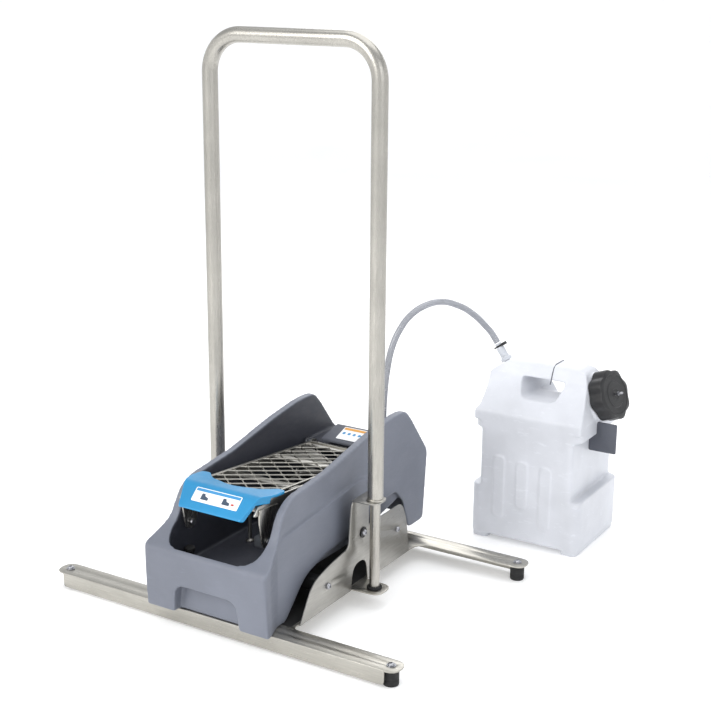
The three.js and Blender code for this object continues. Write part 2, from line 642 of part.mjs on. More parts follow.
function addSprayPipes() {
  const pipeX = 60;
  const pipeZ = 195;
  const pipeRadius = 7;
  const frontEnd = -150;
  const rearRun = 140;
  const pipe = bentRod([[-pipeX, frontEnd, pipeZ], [-pipeX, rearRun, pipeZ], [pipeX, rearRun, pipeZ],
    [pipeX, frontEnd, pipeZ]], 22, pipeRadius, 10);
  const fittings = [];
  for (const [, side] of SIDES) {
    for (const y of [-125, -50, 25, 100]) {
      const nozzle = turned([[0, 3], [5, 3], [5, 12], [3, 17], [0, 17]], 10);
      fittings.push(nozzle.translate(side * pipeX, y, pipeZ));
    }
    const post = turned([[0, BASIN_FLOOR + GAP], [9, BASIN_FLOOR + GAP], [9, 111], [4, 114], [4, pipeZ - 3],
      [0, pipeZ - 3]], 10);
    fittings.push(post.translate(side * pipeX, -75, 0));
  }
  piece('spray_manifold', joined(pipe, ...fittings), STAINLESS);
  const valveEnd = PUMP_Y + 46 + GAP;
  piece('delivery_tube', bentRod([[PORT_X, valveEnd, PORT_Z], [PORT_X, 40, PORT_Z], [pipeX, 40, PORT_Z],
    [pipeX, 40, pipeZ - pipeRadius - GAP]], 18, 5), HOSE_CLEAR);
  piece('suction_tube', bentRod([
    [-PORT_X, valveEnd, PORT_Z], [-PORT_X, 45, PORT_Z], [-PORT_X, 45, SUCTION_Z],
    [-PORT_X, HOSE_EXIT.y, SUCTION_Z], [HOSE_EXIT.x, HOSE_EXIT.y, SUCTION_Z],
    [HOSE_EXIT.x, HOSE_EXIT.y, 212],
  ], 18, 5), HOSE_CLEAR);
}

// ---- supply hose and its fittings ----
const HOSE_EXIT = new THREE.Vector3(47.5, 279, 262);
const HOSE_ROUTE = [
  [47.5, 279, 262], [47.5, 279, 290], [49, 282, 359], [52, 286, 404], [58, 296, 455], [67, 312, 491],
  [79, 335, 519], [98, 366, 538], [118, 399, 543], [138.1, 445.8, 528], [154.3, 493, 499.5],
  [170.8, 529.4, 463.7], [177.8, 539, 450.3], [184.3, 543.4, 438], [191.2, 544, 427.8],
];

function addHose() {
  const gland = turned([
    [0, 212 + GAP], [5, 212 + GAP], [8, 222], [8, DECK_TOP + GAP], [14, DECK_TOP + GAP], [14, 244], [11, 245],
    [11, 254], [8, 258], [8, HOSE_EXIT.z - GAP], [0, HOSE_EXIT.z - GAP],
  ], 14).translate(HOSE_EXIT.x, HOSE_EXIT.y, 0);
  piece('hose_gland', gland, DARK_GREY);
  const route = new THREE.CatmullRomCurve3(HOSE_ROUTE.map((point) => new THREE.Vector3(...point)));
  piece('supply_hose', sweep(circleShape(HOSE_RADIUS), route, 40, 8), HOSE_CLEAR);

  const onJug = (geometry) => aim(geometry, COUPLING_AXIS, COUPLING_SEAT);
  piece('coupling_socket', onJug(turned([
    [0, -14], [7, -14], [7, 1.4], [13, 1.4], [13, 8], [10, 9.5], [10, 12], [0, 12],
  ], 12)), DARK_GREY);
  piece('coupling_body', onJug(turned([[0, 12 + GAP], [9.5, 12 + GAP], [9.5, 36], [5, 36], [5, 40], [7.5, 40],
    [7.5, 45], [0, 45]], 14)), JUG_WHITE);
  const latch = circleHole(rectangle(-12, 18, -8, 8, 5), 0, 0, 7.6);
  piece('coupling_latch', onJug(extrudeZ(latch, 36 + GAP, 39.5)), BLACK_RUBBER);
}

// ---- jug ----
// The jug's outer form drawn in by a wall thickness, so that the same form gives its outside and inside.
function jugForm(inset) {
  const smoothness = inset > 0 ? 1 : 3;
  const block = rectangle(JUG.left + inset, JUG.right - inset, JUG.front + inset, JUG.back - inset, 26);
  const front = JUG.front + inset;
  const back = JUG.back - inset;
  const ridgeTop = JUG_RIDGE.top - inset;
  const waist = rectangle(JUG.left + 21 + inset, JUG.right - 21 - inset, front, back, 12);
  const band = rectangle(JUG.left + 4 + inset, JUG.right - 4 - inset, front, back, 26);
  const shoulderSide = outline([
    [front, 280, 0], [back, 280, 0], [back, JUG_SHOULDER.top, 8],
    [JUG_RIDGE.back + 14 - inset, 372, 10], [JUG_RIDGE.back - inset, ridgeTop, 12],
    [JUG_RIDGE.front + inset, ridgeTop, 12], [JUG_RIDGE.front - 14 + inset, 372, 10],
    [front, JUG_SHOULDER.top, 8],
  ]);
  const shoulderFront = outline([
    [JUG.left + 4 + inset, 270, 0], [JUG.right - 4 - inset, 270, 0], [JUG.right - 4 - inset, 306, 6],
    [424 - inset, 396 - inset / 2, 9], [400 - inset, ridgeTop, 9], [240 + inset, ridgeTop, 10],
    [196 + inset, 374 - inset / 2, 6], [203 + inset, 346, 10], [204 + inset, 312, 4],
    [JUG.left + 4 + inset, JUG_SHOULDER.top, 5],
  ]);
  const shoulder = solid(extrudeX(shoulderSide, JUG.left, JUG.right, smoothness))
    .intersect(solid(extrudeY(shoulderFront, JUG.front, JUG.back, smoothness)));
  const grip = outline([[292 - inset, 334 - inset, 12], [370 + inset, 334 - inset, 12],
    [382 + inset, 374 + inset, 12], [274 - inset, 374 + inset, 12]]);
  const neck = aim(disc(inset > 0 ? 36 : 41, -40, inset > 0 ? 30 : 12, 18), CAP_AXIS, CAP_CENTRE);
  const parts = [
    extrudeZ(block, 12 + inset, JUG_BLOCK_TOP - inset, smoothness),
    extrudeZ(waist, JUG_BLOCK_TOP - 20, JUG_SHOULDER.bottom + 12, smoothness),
    extrudeZ(band, JUG_SHOULDER.bottom + inset, 290, smoothness),
    neck,
  ].map(solid);
  const form = parts.reduce((sum, next) => sum.add(next), shoulder);
  const scoop = outline([[548 - inset, 334 - inset, 0], [JUG.back + 10, 296 - inset, 0],
    [JUG.back + 10, 374 + inset, 0], [548 - inset, 374 + inset, 0]]);
  return form.subtract(solid(extrudeY(grip, JUG.front, JUG.back, smoothness)))
    .subtract(solid(extrudeX(scoop, 296 - inset, 366 + inset)));
}

function addJug() {
  const inner = jugForm(JUG_WALL);
  const feet = [[JUG.left + 4, JUG.left + 44], [JUG.right - 44, JUG.right - 4]].map(([x0, x1]) =>
    extrudeZ(rectangle(x0, x1, JUG.front + 4, JUG.back - 4, 14), 0, 12));
  const boss = aim(ring(38, 55, -34, -16, 18), CAP_AXIS, CAP_CENTRE);
  const ribs = [[262, 204, 60], [318, 200, 90], [374, 196, 50]].map(([x, top, bottom]) =>
    extrudeY(rectangle(x - 13, x + 13, bottom, top, 12), JUG.front - 3, JUG.front + 6));
  const socketBore = aim(disc(7 + GAP, -20, 10, 12), COUPLING_AXIS, COUPLING_SEAT);
  const outside = [...feet, boss, ...ribs].map(solid).reduce((sum, next) => sum.add(next), jugForm(0));
  piece('jug_body', outside.subtract(inner).subtract(solid(socketBore)), JUG_WHITE);

  const onNeck = (geometry) => aim(geometry, CAP_AXIS, CAP_CENTRE);
  piece('cap_gasket', onNeck(ring(36.5, 42, 12 + GAP, 14.5, 18)), BLACK_RUBBER);
  const capFace = 19;
  const bodyOfCap = solid(turned([[0, 14.5 + GAP], [43, 14.5 + GAP], [43, -15], [52, -15], [52, capFace - 4],
    [48, capFace], [0, capFace]], 24));
  const lobes = [];
  const lobeCount = 8;
  for (let i = 0; i < lobeCount; i += 1) {
    const angle = 2 * Math.PI * i / lobeCount;
    lobes.push(disc(9, -13, capFace - 3, 8).translate(48.5 * Math.cos(angle), 48.5 * Math.sin(angle), 0));
  }
  const threadRoom = disc(43, -20, 14.5 + GAP, 24);
  const ventBore = disc(3.4, capFace - 8, capFace + 5, 12);
  const cap = cut(lobes.map(solid).reduce((sum, next) => sum.add(next), bodyOfCap), threadRoom, ventBore);
  piece('jug_cap', onNeck(geometryOf(cap)), BLACK_RUBBER);
  piece('cap_vent_pin', onNeck(turned([
    [0, capFace - 3], [3, capFace - 3], [3, capFace + 16], [2, capFace + 18], [0, capFace + 18],
  ], 12)), ZINC);
  piece('dip_tube', bentRod([
    COUPLING_SEAT.clone().addScaledVector(COUPLING_AXIS, -14 - GAP).toArray(),
    COUPLING_SEAT.clone().addScaledVector(COUPLING_AXIS, -60).toArray(),
    [COUPLING_SEAT.x + 36, COUPLING_SEAT.y, 42],
  ], 30, 4), HOSE_CLEAR);
}

addBase();
addSidePlates();
addSubframe();
addHandle();
addShell();
addRearHousing();
addTreadle();
addPivot();
addPump();
addSprayPipes();
addHose();
addJug();

// The part's origin is on the floor under the middle of its bounding box.
const assembly = new THREE.Group();
assembly.add(station);
assembly.updateMatrixWorld(true);
const extent = new THREE.Box3().setFromObject(station, true);
const middle = extent.getCenter(new THREE.Vector3());
station.position.set(-middle.x, -middle.y, -extent.min.z);

export default assembly;
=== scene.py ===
import json
import math

import bmesh
import bpy
from mathutils import Matrix, Vector

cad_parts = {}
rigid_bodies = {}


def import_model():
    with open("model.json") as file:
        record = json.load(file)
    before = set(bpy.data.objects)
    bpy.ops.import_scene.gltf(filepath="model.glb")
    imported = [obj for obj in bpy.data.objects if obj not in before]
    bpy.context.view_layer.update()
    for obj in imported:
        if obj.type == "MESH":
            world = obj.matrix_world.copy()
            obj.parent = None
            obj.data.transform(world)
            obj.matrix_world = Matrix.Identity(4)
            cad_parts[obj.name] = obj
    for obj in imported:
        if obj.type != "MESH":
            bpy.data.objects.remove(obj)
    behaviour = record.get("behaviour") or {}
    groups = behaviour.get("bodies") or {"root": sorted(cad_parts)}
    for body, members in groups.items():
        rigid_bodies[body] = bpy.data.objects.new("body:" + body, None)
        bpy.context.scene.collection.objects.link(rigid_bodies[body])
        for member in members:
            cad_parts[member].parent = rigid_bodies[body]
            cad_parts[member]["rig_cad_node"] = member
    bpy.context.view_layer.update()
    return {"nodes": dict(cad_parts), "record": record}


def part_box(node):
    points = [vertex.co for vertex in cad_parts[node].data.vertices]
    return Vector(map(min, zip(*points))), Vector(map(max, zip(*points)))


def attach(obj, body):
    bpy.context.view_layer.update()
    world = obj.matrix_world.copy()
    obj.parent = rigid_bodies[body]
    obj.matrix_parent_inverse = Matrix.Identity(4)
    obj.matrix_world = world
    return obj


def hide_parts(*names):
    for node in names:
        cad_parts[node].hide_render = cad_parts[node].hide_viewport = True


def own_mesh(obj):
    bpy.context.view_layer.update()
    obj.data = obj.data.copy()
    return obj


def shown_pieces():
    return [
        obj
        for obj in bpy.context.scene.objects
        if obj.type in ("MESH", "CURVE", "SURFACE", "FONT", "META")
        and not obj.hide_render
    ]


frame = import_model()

NODES = frame["nodes"]
BODY_OF = {node: body for body, members in frame["record"]["behaviour"]["bodies"].items() for node in members}

# The CAD is laid out in millimetres about the handle legs' plane, the centre plane and the floor.
PAN_LOW, PAN_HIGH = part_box("base_pan")
HANDLE_LOW, HANDLE_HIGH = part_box("u_handle")
ORIGIN = Vector(((PAN_LOW.x + PAN_HIGH.x) / 2, (HANDLE_LOW.y + HANDLE_HIGH.y) / 2, 0))
MM = 0.001
X, Z = Vector((1, 0, 0)), Vector((0, 0, 1))
SIDES = (("left", -1), ("right", 1))


def at(x, y, z):
    return ORIGIN + Vector((x, y, z)) * MM


TREADLE = Matrix.Translation(at(0, 204, 230)) @ Matrix.Rotation(math.radians(-5.4), 4, "X")
STATION = Matrix.Translation(ORIGIN)


def linear(code):
    """A colour given as six hex digits, as linear red, green, blue, alpha."""
    parts = [int(code[i:i + 2], 16) / 255 for i in (0, 2, 4)]
    return tuple(((c + 0.055) / 1.055) ** 2.4 if c > 0.04045 else c / 12.92 for c in parts) + (1.0,)


# ---- camera ----
def add_camera():
    data = bpy.data.cameras.new("photo_camera")
    data.lens = 70.16
    data.sensor_width = 36
    yaw, pitch, roll = math.radians(31.58), math.radians(15.85), 0.0070834
    forward = Vector((-math.sin(yaw) * math.cos(pitch), math.cos(yaw) * math.cos(pitch), -math.sin(pitch)))
    level = Vector((math.cos(yaw), math.sin(yaw), 0))
    above = level.cross(forward)
    right = math.cos(roll) * level + math.sin(roll) * above
    up = math.cos(roll) * above - math.sin(roll) * level
    camera = bpy.data.objects.new("photo_camera", data)
    camera.matrix_world = (Matrix.Translation(at(1510.4, -2218.7, 1259.3))
                           @ Matrix((right, up, -forward)).transposed().to_4x4())
    bpy.context.scene.collection.objects.link(camera)
    bpy.context.scene.camera = camera


add_camera()


# ---- materials ----
class Nodes:
    """A small helper round one material's node tree."""

    def __init__(self, name):
        self.material = bpy.data.materials.new(name)
        self.material.use_nodes = True
        self.tree = self.material.node_tree
        self.shader = self.tree.nodes["Principled BSDF"]
        self.place = self.add("ShaderNodeTexCoord").outputs["Object"]

    def add(self, kind, **values):
        node = self.tree.nodes.new(kind)
        for key, value in values.items():
            setattr(node, key, value)
        return node

    def join(self, source, target):
        self.tree.links.new(source, target)

    def noise(self, scale, detail=4.0, stretch=(1, 1, 1), roughness=0.5):
        mapping = self.add("ShaderNodeMapping")
        mapping.inputs["Scale"].default_value = stretch
        self.join(self.place, mapping.inputs["Vector"])
        noise = self.add("ShaderNodeTexNoise")
        noise.inputs["Scale"].default_value = scale
        noise.inputs["Detail"].default_value = detail
        noise.inputs["Roughness"].default_value = roughness
        self.join(mapping.outputs["Vector"], noise.inputs["Vector"])
        return noise.outputs["Fac"]

    def spread(self, value, low, high, start=0.3, end=0.7):
        ramp = self.add("ShaderNodeMapRange")
        for key, number in (("From Min", start), ("From Max", end), ("To Min", low), ("To Max", high)):
            ramp.inputs[key].default_value = number
        self.join(value, ramp.inputs["Value"])
        return ramp.outputs["Result"]

    def mix(self, factor, one, two):
        mix = self.add("ShaderNodeMix", data_type="RGBA")
        self.join(factor, mix.inputs["Factor"])
        for key, value in (("A", one), ("B", two)):
            socket = [s for s in mix.inputs if s.name == key and s.type == "RGBA"][0]
            if isinstance(value, tuple):
                socket.default_value = value
            else:
                self.join(value, socket)
        return [s for s in mix.outputs if s.type == "RGBA"][0]

    def bump(self, heights):
        """Bump from (height, distance in metres) pairs, each on top of the last."""
        normal = None
        for height, distance in heights:
            bump = self.add("ShaderNodeBump")
            bump.inputs["Distance"].default_value = distance
            bump.inputs["Strength"].default_value = 1.0
            self.join(height, bump.inputs["Height"])
            if normal:
                self.join(normal, bump.inputs["Normal"])
            normal = bump.outputs["Normal"]
        self.join(normal, self.shader.inputs["Normal"])

    def set(self, **values):
        for key, value in values.items():
            self.shader.inputs[key.replace("_", " ")].default_value = value


def shaded(color, amount):
    return tuple(min(1.0, c * amount) for c in color[:3]) + (1.0,)


def metal(name, color, grain, rough):
    """Metal brushed along one axis: fine lines in the roughness and bump, and broad soft staining."""
    n = Nodes(name)
    lines = n.noise(60, 3, grain, 0.6)
    stains = n.noise(9, 4)
    tone = n.mix(n.spread(stains, 0, 1), shaded(color, 0.86), shaded(color, 1.08))
    n.join(n.mix(n.spread(lines, 0, 0.5), tone, shaded(color, 0.7)), n.shader.inputs["Base Color"])
    n.join(n.spread(lines, rough - 0.08, rough + 0.12), n.shader.inputs["Roughness"])
    n.bump([(lines, 0.00004)])
    n.set(Metallic=1.0)
    return n.material


def plastic(name, color, rough, grain=900, depth=0.00012, wear=0.0, coat=0.0, **extra):
    """Moulded plastic: leather grain, cloudy tone, handling marks and paler worn edges."""
    n = Nodes(name)
    pits = n.noise(grain, 2)
    cloud = n.noise(7, 5)
    scuff = n.noise(34, 6, (1, 1, 3), 0.65)
    tone = n.mix(n.spread(cloud, 0, 1), shaded(color, 0.88), shaded(color, 1.1))
    tone = n.mix(n.spread(scuff, 0, 0.35, 0.58, 0.75), tone, shaded(color, 1.35))
    if wear:
        edges = n.add("ShaderNodeNewGeometry").outputs["Pointiness"]
        tone = n.mix(n.spread(edges, 0, wear, 0.51, 0.6), tone, shaded(color, 1.9))
    n.join(tone, n.shader.inputs["Base Color"])
    n.join(n.spread(scuff, rough - 0.06, rough + 0.1), n.shader.inputs["Roughness"])
    n.bump([(cloud, 0.0008), (pits, depth)])
    n.set(Coat_Weight=coat, **extra)
    return n.material


def tub_plastic(name, outside, inside_and_shade):
    """The tub's plastic: grey outside and over the rim, darker on the faces turned in to the boot space:
    partly the inner moulding's own darker grey, partly painted shade in the basin.
    """
    n = Nodes(name)
    pits = n.noise(900, 2)
    cloud = n.noise(7, 5)
    scuff = n.noise(30, 6, (1, 1, 3), 0.65)
    offset = n.add("ShaderNodeVectorMath", operation="SUBTRACT")
    n.join(n.place, offset.inputs[0])
    offset.inputs[1].default_value = ORIGIN
    axes = n.add("ShaderNodeSeparateXYZ")
    n.join(offset.outputs["Vector"], axes.inputs["Vector"])
    width = n.add("ShaderNodeMath", operation="ABSOLUTE")
    n.join(axes.outputs["X"], width.inputs[0])
    beyond = []
    for source, sign, start in ((width.outputs["Value"], 1, -0.064), (axes.outputs["Y"], -1, -0.256)):
        past = n.add("ShaderNodeMath", operation="MULTIPLY_ADD")
        n.join(source, past.inputs[0])
        past.inputs[1].default_value = sign
        past.inputs[2].default_value = start
        over = n.add("ShaderNodeMath", operation="MAXIMUM")
        n.join(past.outputs["Value"], over.inputs[0])
        over.inputs[1].default_value = 0
        beyond.append(over.outputs["Value"])
    corner = n.add("ShaderNodeCombineXYZ")
    n.join(beyond[0], corner.inputs["X"])
    n.join(beyond[1], corner.inputs["Y"])
    distance = n.add("ShaderNodeVectorMath", operation="LENGTH")
    n.join(corner.outputs["Vector"], distance.inputs[0])
    inward = n.spread(distance.outputs["Value"], 1, 0, 0.0445, 0.0465)
    above_skirt = n.spread(axes.outputs["Z"], 0, 1, 0.1005, 0.1035)
    before_back = n.spread(axes.outputs["Y"], 1, 0, 0.327, 0.331)
    within = None
    for limit in (above_skirt, before_back):
        both = n.add("ShaderNodeMath", operation="MULTIPLY")
        n.join(within.outputs["Value"] if within else inward, both.inputs[0])
        n.join(limit, both.inputs[1])
        within = both
    edges = n.add("ShaderNodeNewGeometry").outputs["Pointiness"]
    tones = []
    for color in (outside, inside_and_shade):
        tone = n.mix(n.spread(cloud, 0, 1), shaded(color, 0.88), shaded(color, 1.1))
        tone = n.mix(n.spread(scuff, 0, 0.3, 0.58, 0.75), tone, shaded(color, 1.4))
        tones.append(n.mix(n.spread(edges, 0, 0.45, 0.51, 0.6), tone, shaded(color, 1.9)))
    # The inner faces take the darker colour: partly the moulding's own colour, partly painted shade in the
    # boot space.
    n.join(n.mix(within.outputs["Value"], tones[0], tones[1]), n.shader.inputs["Base Color"])
    n.join(n.spread(scuff, 0.42, 0.58), n.shader.inputs["Roughness"])
    n.bump([(cloud, 0.0008), (pits, 0.00012)])
    return n.material


STEEL_X = metal("stainless_along_x", linear("b9b6ae"), (0.4, 12, 12), 0.32)
STEEL_Y = metal("stainless_along_y", linear("aaa8a3"), (12, 0.4, 12), 0.34)
STEEL_Z = metal("stainless_along_z", linear("b6b3ac"), (12, 12, 0.4), 0.28)
ZINC = metal("zinc_plate", linear("b4b5ba"), (2, 2, 2), 0.3)
BRASS = metal("turned_brass", linear("c39a55"), (3, 3, 3), 0.3)
# The second colour is the darker inner moulding with painted shade in the basin added in.
SHELL = tub_plastic("moulded_tub_grey", linear("70747f"), linear("3a3c45"))
HOUSING = plastic("dark_housing_plastic", linear("53565f"), 0.5)
BLACK = plastic("black_plastic", linear("1b1b1d"), 0.42)
RUBBER = plastic("black_rubber", linear("161617"), 0.72, 500, 0.0002)
PUMP = plastic("grey_nylon", linear("6a6e74"), 0.45)
BLUE = plastic("blue_heel_plastic", linear("1f85b8"), 0.36, 700, 0.00006, wear=0.35)
JUG = plastic("natural_jug_plastic", linear("d1d3d9"), 0.4, 260, 0.00008, Subsurface_Weight=0.25,
              Subsurface_Radius=(0.02, 0.02, 0.02))
WHITE_PLASTIC = plastic("white_fitting_plastic", linear("c6c9cf"), 0.38, 1200, 0.00005)
HOSE = plastic("clear_hose_plastic", linear("a5a7ae"), 0.2, 400, 0.00005, coat=0.4,
               Transmission_Weight=0.35, IOR=1.45)
PAPER = plastic("label_white", linear("f2f3f5"), 0.35, 1500, 0.00002)
INK_BLUE = plastic("label_blue", linear("3f8fc4"), 0.35, 1500, 0.00002)
INK_ORANGE = plastic("label_orange", linear("d99a3c"), 0.35, 1500, 0.00002)
INK_RED = plastic("label_red", linear("b9483f"), 0.35, 1500, 0.00002)
INK_DARK = plastic("label_dark", linear("3a4a5c"), 0.35, 1500, 0.00002)

LOOKS = {
    "stainless": STEEL_Y, "zinc_steel": ZINC, "shell_plastic": SHELL, "housing_plastic": HOUSING,
    "rubber": RUBBER, "heel_plastic": BLUE, "jug_plastic": JUG, "black_plastic": BLACK,
    "pump_plastic": PUMP, "brass": BRASS, "clear_hose": HOSE,
}
SLOT_OF = {part["node"]: part["material_slot"] for part in frame["record"]["subparts"]}


# ---- making pieces ----
SMOOTH_ANGLE = 35


def link(name, mesh, material, body):
    piece = bpy.data.objects.new(name, mesh)
    mesh.materials.clear()
    mesh.materials.append(material)
    bpy.context.scene.collection.objects.link(piece)
    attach(piece, body)
    return piece


def smooth(mesh):
    mesh.polygons.foreach_set("use_smooth", [True] * len(mesh.polygons))
    mesh.set_sharp_from_angle(angle=math.radians(SMOOTH_ANGLE))


def built(name, bm, bevel=0.0, angle=30, steps=2):
    """A mesh from bm, its edges rounded off over bevel millimetres."""
    bmesh.ops.recalc_face_normals(bm, faces=bm.faces)
    mesh = bpy.data.meshes.new(name)
    bm.to_mesh(mesh)
    bm.free()
    if bevel:
        mesh = modified(mesh, ("BEVEL", dict(width=bevel * MM, segments=steps, limit_method="ANGLE",
                                             angle_limit=math.radians(angle))))
    smooth(mesh)
    return mesh


def modified(mesh, *modifiers):
    """The mesh after these modifiers, each (type, settings)."""
    carrier = bpy.data.objects.new("carrier", mesh)
    bpy.context.scene.collection.objects.link(carrier)
    for kind, settings in modifiers:
        modifier = carrier.modifiers.new(kind, kind)
        for key, value in settings.items():
            setattr(modifier, key, value)
    depsgraph = bpy.context.evaluated_depsgraph_get()
    result = bpy.data.meshes.new_from_object(carrier.evaluated_get(depsgraph))
    bpy.data.objects.remove(carrier)
    return result


def welded(node):
    bm = bmesh.new()
    bm.from_mesh(NODES[node].data)
    bmesh.ops.remove_doubles(bm, verts=bm.verts, dist=2e-6)
    return bm


def refined(node, bevel=0.5, material=None):
    """Stands for a CAD node of the right shape: the same solid with rounded edges and smooth turnings."""
    bm = welded(node)
    bmesh.ops.dissolve_limit(bm, angle_limit=math.radians(0.6), verts=bm.verts, edges=bm.edges)
    mesh = built(node + "_skin", bm, bevel, 32)
    slot = SLOT_OF[node]
    piece = link(node + "_skin", mesh, material or LOOKS[slot], BODY_OF[node])
    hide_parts(node)
    return piece


def fused(source, voxel, rounds):
    """A moulded form: the source mesh fused into one even skin and softened at its edges."""
    return modified(source,
                    ("REMESH", dict(mode="VOXEL", voxel_size=voxel * MM, use_smooth_shade=True)),
                    ("SMOOTH", dict(factor=0.5, iterations=rounds)))


def turned(name, profile, place, axis, body, slot, material=None, segments=48, lobes=None):
    """A closed ring of radius, height points in millimetres, turned about an axis that starts at place."""
    bm = bmesh.new()
    turn = Z.rotation_difference(axis.normalized()).to_matrix().to_4x4()
    frame_of = Matrix.Translation(place) @ turn
    rows = []
    for radius, height in profile:
        if radius == 0:
            rows.append([bm.verts.new(frame_of @ Vector((0, 0, height * MM)))])
            continue
        row = []
        for i in range(segments):
            angle = 2 * math.pi * i / segments
            reach = radius * (lobes(angle, radius, height) if lobes else 1)
            spot = Vector((reach * math.cos(angle), reach * math.sin(angle), height)) * MM
            row.append(bm.verts.new(frame_of @ spot))
        rows.append(row)
    closed = profile[0][0] != 0 or profile[-1][0] != 0
    pairs = list(zip(rows, rows[1:] + rows[:1])) if closed else list(zip(rows, rows[1:]))
    for low, high in pairs:
        for i in range(segments):
            j = (i + 1) % segments
            if len(low) == 1 and len(high) == 1:
                continue
            if len(low) == 1:
                bm.faces.new((low[0], high[j], high[i]))
            elif len(high) == 1:
                bm.faces.new((low[i], low[j], high[0]))
            else:
                bm.faces.new((low[i], low[j], high[j], high[i]))
    mesh = built(name, bm)
    return link(name, mesh, material or LOOKS[slot], body)


def swept(name, points, radius, body, slot, material=None, segments=32, inner=0.0):
    """A tube of that radius in millimetres along points, hollow where inner is given."""
    bm = bmesh.new()
    tangents = [(points[min(i + 1, len(points) - 1)] - points[max(i - 1, 0)]).normalized()
                for i in range(len(points))]
    side = tangents[0].orthogonal().normalized()
    outer_rows, inner_rows = [], []
    for i, point in enumerate(points):
        if i:
            side = (tangents[i - 1].rotation_difference(tangents[i]) @ side)
        side = (side - tangents[i] * side.dot(tangents[i])).normalized()
        other = tangents[i].cross(side)
        ring = [math.cos(2 * math.pi * k / segments) * side + math.sin(2 * math.pi * k / segments) * other
                for k in range(segments)]
        outer_rows.append([bm.verts.new(point + v * radius * MM) for v in ring])
        if inner:
            inner_rows.append([bm.verts.new(point + v * inner * MM) for v in ring])

    def skin(rows):
        for low, high in zip(rows, rows[1:]):
            for k in range(segments):
                j = (k + 1) % segments
                bm.faces.new((low[k], low[j], high[j], high[k]))

    skin(outer_rows)
    if inner:
        skin(inner_rows)
        for k in range(segments):
            j = (k + 1) % segments
            for end in (0, -1):
                bm.faces.new((outer_rows[end][k], outer_rows[end][j], inner_rows[end][j], inner_rows[end][k]))
    else:
        bm.faces.new(outer_rows[0])
        bm.faces.new(outer_rows[-1])
    mesh = built(name, bm)
    return link(name, mesh, material or LOOKS[slot], body)


def rounded(corners, steps=6):
    """A closed outline from corners (u, v, reach), each rounded off over its reach, in millimetres."""
    points = []
    count = len(corners)
    for i, (u, v, reach) in enumerate(corners):
        here = Vector((u, v))
        if not reach:
            points.append(here)
            continue
        before, after = Vector(corners[i - 1][:2]), Vector(corners[(i + 1) % count][:2])
        entry = here + (before - here).normalized() * reach
        leave = here + (after - here).normalized() * reach
        for k in range(steps + 1):
            t = k / steps
            points.append(entry * (1 - t) ** 2 + here * 2 * t * (1 - t) + leave * t ** 2)
    return points


def rectangle(u0, u1, v0, v1, reach):
    return rounded([(u0, v0, reach), (u1, v0, reach), (u1, v1, reach), (u0, v1, reach)])


AXES = {"x": lambda u, v, w: (w, u, v), "y": lambda u, v, w: (u, w, v), "z": lambda u, v, w: (u, v, w)}


def prism(bm, points, axis, low, high, space=STATION):
    """Adds an outline run along an axis between two heights in millimetres."""
    place = AXES[axis]
    rows = [[bm.verts.new(space @ (Vector(place(p.x, p.y, w)) * MM)) for p in points] for w in (low, high)]
    bm.faces.new(rows[0])
    bm.faces.new(rows[1])
    for i in range(len(points)):
        j = (i + 1) % len(points)
        bm.faces.new((rows[0][i], rows[0][j], rows[1][j], rows[1][i]))


def plate(name, points, axis, low, high, body, material, space=STATION, bevel=0.0):
    bm = bmesh.new()
    prism(bm, points, axis, low, high, space)
    return link(name, built(name, bm, bevel), material, body)


def mesh_of(*prisms, space=STATION):
    bm = bmesh.new()
    for points, axis, low, high in prisms:
        prism(bm, points, axis, low, high, space)
    bmesh.ops.recalc_face_normals(bm, faces=bm.faces)
    mesh = bpy.data.meshes.new("form")
    bm.to_mesh(mesh)
    bm.free()
    return mesh


def merged(*meshes):
    bm = bmesh.new()
    for mesh in meshes:
        bm.from_mesh(mesh)
    result = bpy.data.meshes.new("merged")
    bm.to_mesh(result)
    bm.free()
    return result


def combined(mesh, other, operation):
    tool = bpy.data.objects.new("tool", other)
    bpy.context.scene.collection.objects.link(tool)
    result = modified(mesh, ("BOOLEAN", dict(operation=operation, object=tool, solver="EXACT")))
    bpy.data.objects.remove(tool)
    return result


def arc_path(corners, bend, steps=14):
    """Points along straight runs between corners, joined by round bends of that radius, in millimetres."""
    points = [at(*corners[0])]
    for before, here, after in zip(corners, corners[1:], corners[2:]):
        a, b, c = at(*before), at(*here), at(*after)
        one, two = (a - b).normalized(), (c - b).normalized()
        half = one.angle(two) / 2
        cut_back = bend * MM / math.tan(half)
        centre = b + (one + two).normalized() * bend * MM / math.sin(half)
        start, end = b + one * cut_back - centre, b + two * cut_back - centre
        for k in range(steps + 1):
            points.append(centre + start.normalized().slerp(end.normalized(), k / steps) * bend * MM)
    points.append(at(*corners[-1]))
    return points


# ---- hose ----
HOSE_ROUTE = (
    (47.5, 279, 262), (47.5, 279, 290), (49, 282, 359), (52, 286, 404), (58, 296, 455), (67, 312, 491),
    (79, 335, 519), (98, 366, 538), (118, 399, 543), (138.1, 445.8, 528), (154.3, 493, 499.5),
    (170.8, 529.4, 463.7), (177.8, 539, 450.3), (184.3, 543.4, 438), (191.2, 544, 427.8),
)
HOSE_RADIUS = 7.3
COUPLING_SEAT = at(218, 544, 389.5)
COUPLING_AXIS = Vector((-0.575, 0, 0.818)).normalized()


